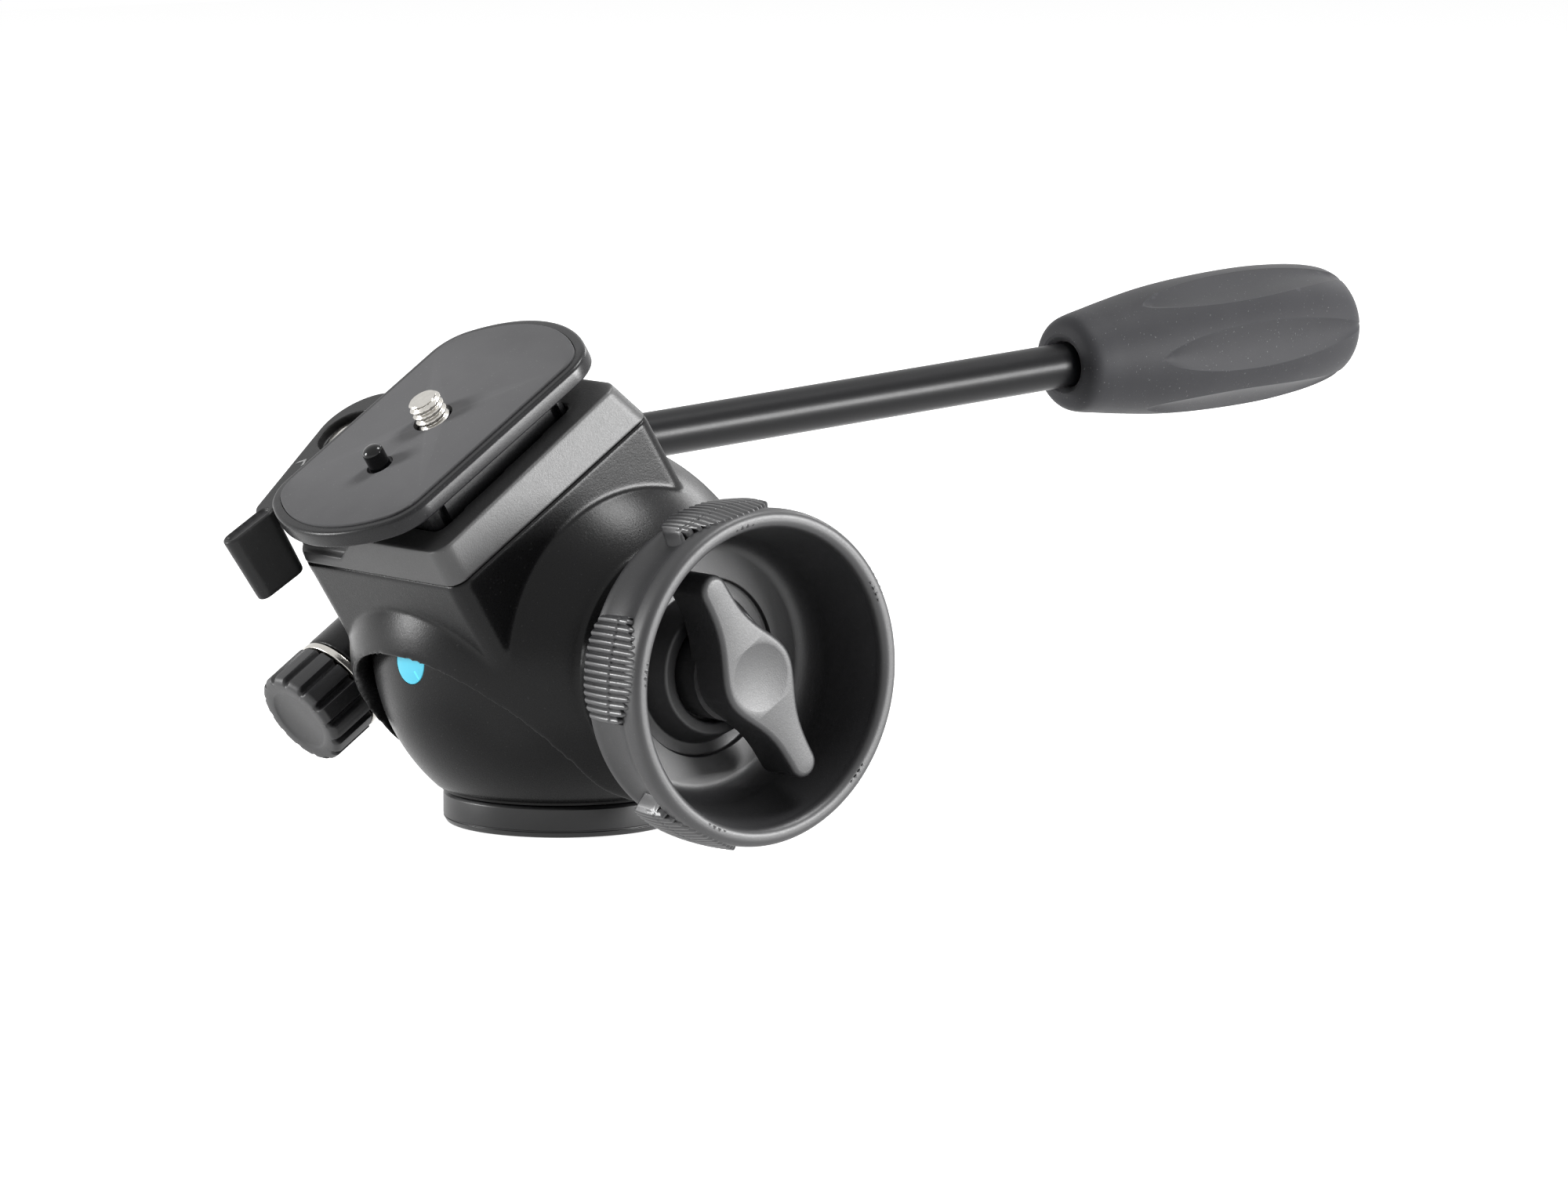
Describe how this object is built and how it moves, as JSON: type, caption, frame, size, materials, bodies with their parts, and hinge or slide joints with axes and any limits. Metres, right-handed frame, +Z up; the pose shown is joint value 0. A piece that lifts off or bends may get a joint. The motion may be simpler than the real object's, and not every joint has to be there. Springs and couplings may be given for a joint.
{
  "type": "fluid video head",
  "caption": "Compact fluid pan and tilt head with quick-release camera plate, large drag ring, tilt lock wing and bent handle with a rubber grip.",
  "frame": {"origin": "centre of the tripod socket at the bottom face of the base ring, on the pan axis", "axes": "+X towards the large drag ring, +Y towards the rear where the handle points, -Y towards the front of the head, +Z up along the pan axis"},
  "size_m": [0.1183, 0.298, 0.0924],
  "materials": {
    "black_plastic": "fine grained black technopolymer",
    "satin_black": "satin black with a fine grain",
    "black_metal": "black anodised and turned",
    "gloss_black": "gloss black coat",
    "pad_rubber": "dark grey smooth rubber",
    "grip_rubber": "dark grey soft rubber",
    "blue_plastic": "bright blue",
    "steel": "bright turned steel",
    "brass": "turned brass",
    "friction_disc": "dull friction disc",
    "nylon": "milky nylon"
  },
  "bodies": {
    "base": {"base_ring": "black_metal", "tripod_bush": "brass", "pan_spindle": "steel", "pan_washer": "nylon"},
    "pan": {"pan_housing": "black_plastic", "front_cap": "blue_plastic", "pan_lock_pad": "nylon", "pan_lock_screw": "steel", "axle_bush_left": "brass", "axle_bush_right": "brass", "drag_disc_inner": "friction_disc", "drag_disc_outer": "friction_disc"},
    "pan_lock": {"pan_lock_knob": "black_plastic"},
    "tilt": {"tilt_housing": "black_plastic", "platform_tray": "satin_black", "tray_screw_1": "steel", "tray_screw_2": "steel", "tray_screw_3": "steel", "tray_screw_4": "steel", "lever_pivot_screw": "steel", "clamp_shoe": "brass", "tilt_axle": "steel", "drag_rotor": "steel", "drag_pressure_plate": "steel", "thrust_washer": "nylon", "boss_collar": "steel", "boss_rosette": "steel"},
    "ring": {"drag_ring": "black_plastic"},
    "wing": {"tilt_lock_knob": "black_plastic", "wing_insert": "brass"},
    "lever": {"release_lever": "black_plastic", "lever_spring": "steel"},
    "plate": {"camera_plate": "satin_black", "plate_foot": "satin_black", "plate_pad": "pad_rubber", "pin_spring": "steel"},
    "screw": {"camera_screw": "steel", "screw_clip": "steel"},
    "pin": {"locating_pin": "gloss_black"},
    "clamp": {"clamp_knob": "black_plastic", "clamp_insert": "brass"},
    "handle": {"handle_hub": "black_metal", "handle_tube": "gloss_black", "handle_grip": "grip_rubber"}
  },
  "joints": [
    {"name": "pan_turn", "type": "hinge", "parent": "base", "child": "pan", "pos_m": [0, 0, 0.01], "axis": [0, 0, 1], "continuous": true},
    {"name": "pan_lock_turn", "type": "hinge", "parent": "pan", "child": "pan_lock", "pos_m": [0, 0.038, 0.0112], "axis": [0, 1, 0], "continuous": true},
    {"name": "tilt_turn", "type": "hinge", "parent": "pan", "child": "tilt", "pos_m": [0, 0, 0.033], "axis": [1, 0, 0], "range_deg": [-62, 47]},
    {"name": "drag_ring_turn", "type": "hinge", "parent": "tilt", "child": "ring", "pos_m": [0.05, 0, 0.033], "axis": [1, 0, 0], "range_deg": [-150, 150]},
    {"name": "tilt_lock_turn", "type": "hinge", "parent": "tilt", "child": "wing", "pos_m": [0.05, 0, 0.033], "axis": [1, 0, 0], "range_deg": [-120, 30]},
    {"name": "lever_turn", "type": "hinge", "parent": "tilt", "child": "lever", "pos_m": [-0.0266, -0.02765, 0.06992], "axis": [0, -0.5388, 0.8425], "range_deg": [-80, 0], "stiffness_Nm_per_rad": 0.03},
    {"name": "plate_lift", "type": "slide", "parent": "tilt", "child": "plate", "axis": [0, -0.5388, 0.8425], "range_m": [0, 0.012]},
    {"name": "camera_screw_turn", "type": "hinge", "parent": "plate", "child": "screw", "pos_m": [0, -0.02795, 0.07448], "axis": [0, -0.5388, 0.8425], "continuous": true},
    {"name": "pin_press", "type": "slide", "parent": "plate", "child": "pin", "axis": [0, 0.5388, -0.8425], "range_m": [0, 0.004], "stiffness_N_per_m": 300, "springref_m": -0.002, "deforming": ["pin_spring"]},
    {"name": "clamp_turn", "type": "hinge", "parent": "tilt", "child": "clamp", "pos_m": [-0.0447, 0, 0.033], "axis": [0, 0.8425, 0.5388], "continuous": true},
    {"name": "handle_turn", "type": "hinge", "parent": "tilt", "child": "handle", "pos_m": [-0.0447, 0, 0.033], "axis": [0, 0.8425, 0.5388], "range_deg": [-60, 60]}
  ]
}
